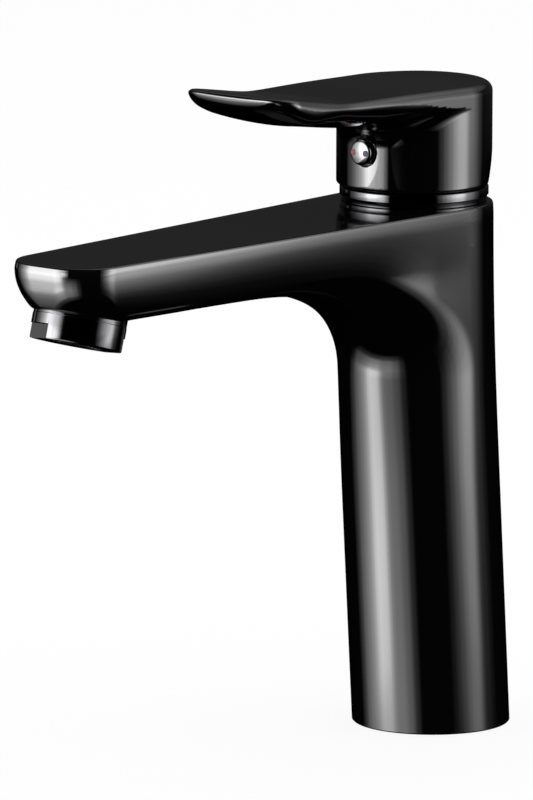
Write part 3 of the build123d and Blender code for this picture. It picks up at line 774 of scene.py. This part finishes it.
handle = field_skin("handle_skin", handle_field, LATTICE_LOW, LATTICE_HIGH, LATTICE_STEP)
handle.data.materials.append(gloss_black)
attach(handle, "lever")
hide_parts("handle_shell")


# Index plug: a small chromed plastic cap pressed into the skirt over the grub screw. It stands
# proud of the skirt, its face is a little domed, and a red and a blue mark are inlaid in it.
PLUG_PROUD = 2.5
PLUG_TURN_STEPS = 96
# Radius and height of its turned profile, from the middle of its face to the middle of its back
PLUG_PROFILE = (
    (0.02, 0.0), (0.8, -0.02), (1.6, -0.08), (2.3, -0.16), (2.9, -0.26), (3.2, -0.32), (3.4, -0.38),
    (3.6, -0.47), (3.78, -0.6), (3.88, -0.78), (3.9, -1.0), (3.9, -3.1), (4.15, -3.2), (4.15, -9.4),
    (0.02, -9.4),
)


def on_plug(point):
    return point[0], AXIS_Y - SKIRT_R - PLUG_PROUD - point[2], PLUG_Z + point[1]


plug_chrome = finish(
    "plug_chrome", (0.12, 0.12, 0.125), (0.17, 0.17, 0.175), (0.06, 0.12), 2500.0, 0.004, 1.0)
mark_red = finish("hot_mark_red", (0.30, 0.012, 0.02), (0.42, 0.03, 0.035), (0.35, 0.5), 4000.0, 0.01)
mark_blue = finish("cold_mark_blue", (0.035, 0.025, 0.20), (0.06, 0.045, 0.30), (0.35, 0.5), 4000.0, 0.01)
plug_skin = Skin()
plug_skin.turned(PLUG_PROFILE, on_plug, PLUG_TURN_STEPS)
plug = plug_skin.finish("index_plug_skin")
plug.data.materials.append(plug_chrome)
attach(plug, "lever")
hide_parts("index_plug")
dress(mark_red, "index_mark_hot")
dress(mark_blue, "index_mark_cold")


# Aerator: a turned brass shell plated in black chrome, screwed up into the nose against a washer,
# with two flats for a spanner. It holds a plastic flow straightener and a screen.
SHELL_R = 13.8
FLAT_R = 11.8
FLAT_TOP = 4.4
FLAT_TURN = math.radians(-30.0)
SHELL_TURN_STEPS = 240
# Radius and height of its turned profile, below and above the top of the flats
SHELL_LOW = (
    (9.2, 1.2), (9.2, 0.35), (9.5, 0.05), (13.3, 0.0), (13.6, 0.08), (13.75, 0.3), (SHELL_R, 0.55),
    (SHELL_R, FLAT_TOP),
)
SHELL_HIGH = (
    (SHELL_R, FLAT_TOP), (SHELL_R, 7.34), (13.74, 7.4), (12.0, 7.4), (12.0, 13.4), (10.3, 13.4),
    (10.3, 1.2), (9.2, 1.2),
)


# The two flats: what stands out past them is pressed back to their planes
def on_shell_with_flats(point):
    x, y, z = point
    c, s = math.cos(FLAT_TURN), math.sin(FLAT_TURN)
    along, out = c * x + s * y, -s * x + c * y
    out = max(-FLAT_R, min(FLAT_R, out))
    return on_aerator((c * along - s * out, s * along + c * out, z))


shell_skin = Skin()
low_rings = shell_skin.turned(SHELL_LOW, on_shell_with_flats, SHELL_TURN_STEPS)
high_rings = shell_skin.turned(SHELL_HIGH, on_aerator, SHELL_TURN_STEPS)
shell_skin.faces += quads(low_rings[-1] + low_rings[-1][:1], high_rings[0] + high_rings[0][:1])
shell = shell_skin.finish("aerator_shell_skin")
shell.data.materials.append(black_chrome)
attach(shell, "body")
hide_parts("aerator_housing")
dress(seal_rubber, "aerator_washer")
dress(white_plastic, "aerator_cage")
dress(grey_plastic, "aerator_screen")


# Floor: a plain pale sheet under the foot, matt all over. It is near white to the camera and
# keeps a soft shadow of the part. Lengths from here on are metres.
FLOOR_HALF = 4.0
FLOOR_GLOW = 0.88
FLOOR_COLOUR = (0.9, 0.9, 0.9, 1.0)
FLOOR_ROUGHNESS = 0.9
floor_mesh = bpy.data.meshes.new("floor")
floor_signs = ((-1, -1), (1, -1), (1, 1), (-1, 1))
floor_corners = [(FLOOR_HALF * across, FLOOR_HALF * along, 0.0) for across, along in floor_signs]
floor_mesh.from_pydata(floor_corners, [], [(0, 1, 2, 3)])
white_floor = bpy.data.materials.new("white_floor")
white_floor.use_nodes = True
nodes, links = white_floor.node_tree.nodes, white_floor.node_tree.links
matt = nodes["Principled BSDF"]
matt.inputs["Base Color"].default_value = FLOOR_COLOUR
matt.inputs["Roughness"].default_value = FLOOR_ROUGHNESS
matt.inputs["Specular IOR Level"].default_value = 0.0
glow = nodes.new("ShaderNodeEmission")
path = nodes.new("ShaderNodeLightPath")
share = nodes.new("ShaderNodeMath")
share.operation = "MULTIPLY"
share.inputs[1].default_value = FLOOR_GLOW
links.new(path.outputs["Is Camera Ray"], share.inputs[0])
blend = nodes.new("ShaderNodeMixShader")
links.new(share.outputs[0], blend.inputs["Fac"])
links.new(matt.outputs[0], blend.inputs[1])
links.new(glow.outputs[0], blend.inputs[2])
links.new(blend.outputs[0], nodes["Material Output"].inputs["Surface"])
floor_mesh.materials.append(white_floor)
floor = bpy.data.objects.new("floor", floor_mesh)
bpy.context.scene.collection.objects.link(floor)
floor.visible_glossy = False
floor.visible_diffuse = False


# Backdrop: the white surround of the studio. It is white to the camera, in gloss and through
# clear pieces, and gives only a weak fill of light to the rest.
WHITE = 1.0
FILL = 0.15
world = bpy.data.worlds.new("studio")
bpy.context.scene.world = world
world.use_nodes = True
nodes, links = world.node_tree.nodes, world.node_tree.links
path = nodes.new("ShaderNodeLightPath")
seen = path.outputs["Is Camera Ray"]
for kind in ("Is Glossy Ray", "Is Transmission Ray"):
    either = nodes.new("ShaderNodeMath")
    either.operation = "MAXIMUM"
    links.new(seen, either.inputs[0])
    links.new(path.outputs[kind], either.inputs[1])
    seen = either.outputs[0]
level = nodes.new("ShaderNodeMapRange")
level.inputs["To Min"].default_value = FILL
level.inputs["To Max"].default_value = WHITE
links.new(seen, level.inputs["Value"])
links.new(level.outputs["Result"], nodes["Background"].inputs["Strength"])
nodes["Background"].inputs["Color"].default_value = (1.0, 1.0, 1.0, 1.0)


# Studio dome: what the gloss mirrors, a dark room with a few soft panels of light. Only gloss
# sees it. Each panel has its glow, and its rise and fall over the degrees of turn and of height.
PANELS = (
    # Tall panel on the hot side of the spout
    (10.0,
     ((-172, 0.0), (-160, 0.04), (-152, 0.1), (-145, 0.2), (-138, 0.32), (-132, 0.52), (-127, 0.84),
      (-122, 1.0), (-113, 0.9), (-108, 0.75), (-104, 0.4), (-99, 0.12), (-94, 0.03), (-88, 0.0)),
     ((-44, 0.0), (-36, 0.08), (-30, 0.14), (-27, 0.26), (-25, 0.46), (-22, 0.5), (-18, 0.46), (-14, 0.47),
      (-6, 0.8), (2, 1.0), (14, 0.9), (20, 0.5), (26, 0.12), (34, 0.0))),
    # Dim spill low in front
    (2.8,
     ((-165, 0.0), (-150, 0.3), (-130, 0.5), (-105, 0.9), (-88, 1.0), (-76, 0.6), (-66, 0.12),
      (-58, 0.0)),
     ((-50, 0.0), (-44, 0.1), (-38, 0.42), (-28, 0.55), (-22, 0.48), (-16, 0.35), (-10, 0.19),
      (-5, 0.06), (-1, 0.0))),
    # Short panel in front, for the top of the nose
    (6.0,
     ((-108, 0.0), (-103, 0.7), (-98, 0.8), (-93, 0.35), (-88, 0.0)),
     ((-3, 0.0), (2, 0.35), (7, 0.8), (12, 1.0), (18, 0.5), (24, 0.0))),
    # Narrow panel on the cold side
    (6.0,
     ((-14, 0.0), (-6, 0.07), (0, 0.2), (8, 0.42), (16, 0.75), (22, 0.98), (28, 1.0), (32, 0.9), (35, 0.66),
      (37, 0.5), (39, 0.33), (41, 0.2), (43, 0.13), (46, 0.08), (50, 0.06), (58, 0.02), (66, 0.0)),
     ((-38, 0.0), (-28, 0.05), (-24, 0.11), (-20, 0.19), (-16, 0.28), (-12, 0.38), (-8, 0.58), (-5, 0.66),
      (-2, 0.56), (0, 0.62), (2, 0.8), (4, 1.0), (12, 0.85), (30, 0.5), (56, 0.0))),
    # Soft fringe behind the narrow panel
    (1.1,
     ((26, 0.0), (38, 0.8), (46, 1.0), (54, 0.6), (62, 0.2), (72, 0.0)),
     ((-9, 0.0), (-6, 0.25), (-3, 0.6), (0, 0.9), (5, 1.0), (30, 0.7), (56, 0.0))),
    # Faint glow behind, for the flat tops
    (0.034,
     ((55, 0.0), (80, 1.0), (165, 1.0), (175, 0.0)),
     ((-4, 0.0), (3, 1.0), (28, 1.0), (45, 0.0))),
    # Low strip across the hot side, for the flat of the aerator
    (0.38,
     ((-180, 1.0), (-174, 0.0), (174, 0.0), (178, 1.0)),
     ((-1, 0.0), (2, 1.0), (6, 1.0), (9, 0.0))),
    # Glow from above, for the rounded top edges
    (0.9,
     ((20, 0.0), (45, 1.0), (70, 1.0), (90, 0.6), (120, 0.35), (175, 0.2)),
     ((22, 0.0), (34, 0.35), (48, 1.0), (90, 1.0))),
)
DOME_R = 0.7
PART_MIDDLE = (0.0, -0.05, 0.1)
DOME_FINENESS = 5
FULL_TURN = 360.0
HALF_TURN = 180.0


# Rise and fall of a panel over an angle, which runs from 0 to 1 over a given span of degrees
def panel_edge(angle, span, stops):
    ramp = nodes.new("ShaderNodeValToRGB")
    ramp.color_ramp.interpolation = "EASE"
    marks = ramp.color_ramp.elements
    while len(marks) < len(stops):
        marks.new(0.5)
    for mark, (degrees, value) in zip(marks, stops):
        mark.position = degrees / span + 0.5
        mark.color = (value, value, value, 1.0)
    links.new(angle, ramp.inputs["Fac"])
    return ramp.outputs["Color"]


def glow_math(operation, first, second):
    node = nodes.new("ShaderNodeMath")
    node.operation = operation
    for value, socket in ((first, node.inputs[0]), (second, node.inputs[1])):
        if isinstance(value, (int, float)):
            socket.default_value = value
        else:
            links.new(value, socket)
    return node.outputs[0]


dome_glow = bpy.data.materials.new("studio_dome")
dome_glow.use_nodes = True
nodes, links = dome_glow.node_tree.nodes, dome_glow.node_tree.links
nodes.remove(nodes["Principled BSDF"])
lamp = nodes.new("ShaderNodeEmission")
links.new(lamp.outputs[0], nodes["Material Output"].inputs["Surface"])
place = nodes.new("ShaderNodeTexCoord")
split = nodes.new("ShaderNodeSeparateXYZ")
links.new(place.outputs["Object"], split.inputs[0])
turned = glow_math("ARCTAN2", split.outputs["Y"], split.outputs["X"])
turned = glow_math("ADD", glow_math("DIVIDE", turned, 2.0 * math.pi), 0.5)
raised = glow_math("ARCSINE", glow_math("DIVIDE", split.outputs["Z"], DOME_R), 0.0)
raised = glow_math("ADD", glow_math("DIVIDE", raised, math.pi), 0.5)
total = 0.0
for strength, turn_stops, height_stops in PANELS:
    over_turn = panel_edge(turned, FULL_TURN, turn_stops)
    over_height = panel_edge(raised, HALF_TURN, height_stops)
    panel = glow_math("MULTIPLY", over_turn, over_height)
    total = glow_math("ADD", glow_math("MULTIPLY", panel, strength), total)
links.new(total, lamp.inputs["Strength"])
dome_shape = bmesh.new()
bmesh.ops.create_icosphere(dome_shape, subdivisions=DOME_FINENESS, radius=DOME_R)
dome_mesh = bpy.data.meshes.new("studio_dome")
dome_shape.to_mesh(dome_mesh)
dome_shape.free()
dome_mesh.materials.append(dome_glow)
dome = bpy.data.objects.new("studio_dome", dome_mesh)
dome.location = PART_MIDDLE
bpy.context.scene.collection.objects.link(dome)
dome.visible_camera = False
dome.visible_diffuse = False
dome.visible_transmission = False
dome.visible_shadow = False


# Ceiling light: one wide soft lamp that hangs level over the part. It lights the matt share of
# every finish and casts the shadow, and gloss doesn't mirror it.
CEILING_SIZE = 5.0
CEILING_POWER = 125.0
CEILING_Z = 2.2
ceiling = bpy.data.lights.new("ceiling_light", "AREA")
ceiling.shape = "SQUARE"
ceiling.size = CEILING_SIZE
ceiling.energy = CEILING_POWER
ceiling_lamp = bpy.data.objects.new("ceiling_light", ceiling)
ceiling_lamp.location = (0.0, 0.0, CEILING_Z)
bpy.context.scene.collection.objects.link(ceiling_lamp)
ceiling_lamp.visible_glossy = False
ceiling_lamp.visible_camera = False


# Camera: far off with a long lens, a little above the spout and on the cold side of the lever. It
# is turned slightly off the middle of the part and rolled by a fifth of a degree.
VIEW_AZIMUTH = math.radians(39.878)
VIEW_HEIGHT = math.radians(10.133)
VIEW_ROLL = math.radians(0.202)
VIEW_DISTANCE = 2.78985
VIEW_TARGET = Vector(PART_MIDDLE)
OFF_AIM = (0.006408, -0.001826)
LENS = 420.57
SENSOR_WIDTH = 36.0
FARTHEST = 20.0
back = Vector((
    math.sin(VIEW_AZIMUTH) * math.cos(VIEW_HEIGHT),
    -math.cos(VIEW_AZIMUTH) * math.cos(VIEW_HEIGHT),
    math.sin(VIEW_HEIGHT),
))
level_right = Vector((math.cos(VIEW_AZIMUTH), math.sin(VIEW_AZIMUTH), 0.0))
level_up = back.cross(level_right)
right = level_right * math.cos(VIEW_ROLL) + level_up * math.sin(VIEW_ROLL)
up = level_up * math.cos(VIEW_ROLL) - level_right * math.sin(VIEW_ROLL)
aim = (back + right * OFF_AIM[0] + up * OFF_AIM[1]).normalized()
right = up.cross(aim).normalized()
up = aim.cross(right)
lens = bpy.data.cameras.new("camera")
lens.lens = LENS
lens.sensor_width = SENSOR_WIDTH
lens.clip_end = FARTHEST
camera = bpy.data.objects.new("camera", lens)
bpy.context.scene.collection.objects.link(camera)
turn = Matrix((right, up, aim)).transposed().to_4x4()
camera.matrix_world = Matrix.Translation(VIEW_TARGET + back * VIEW_DISTANCE) @ turn
bpy.context.scene.camera = camera
bpy.context.scene.view_settings.view_transform = "Standard"
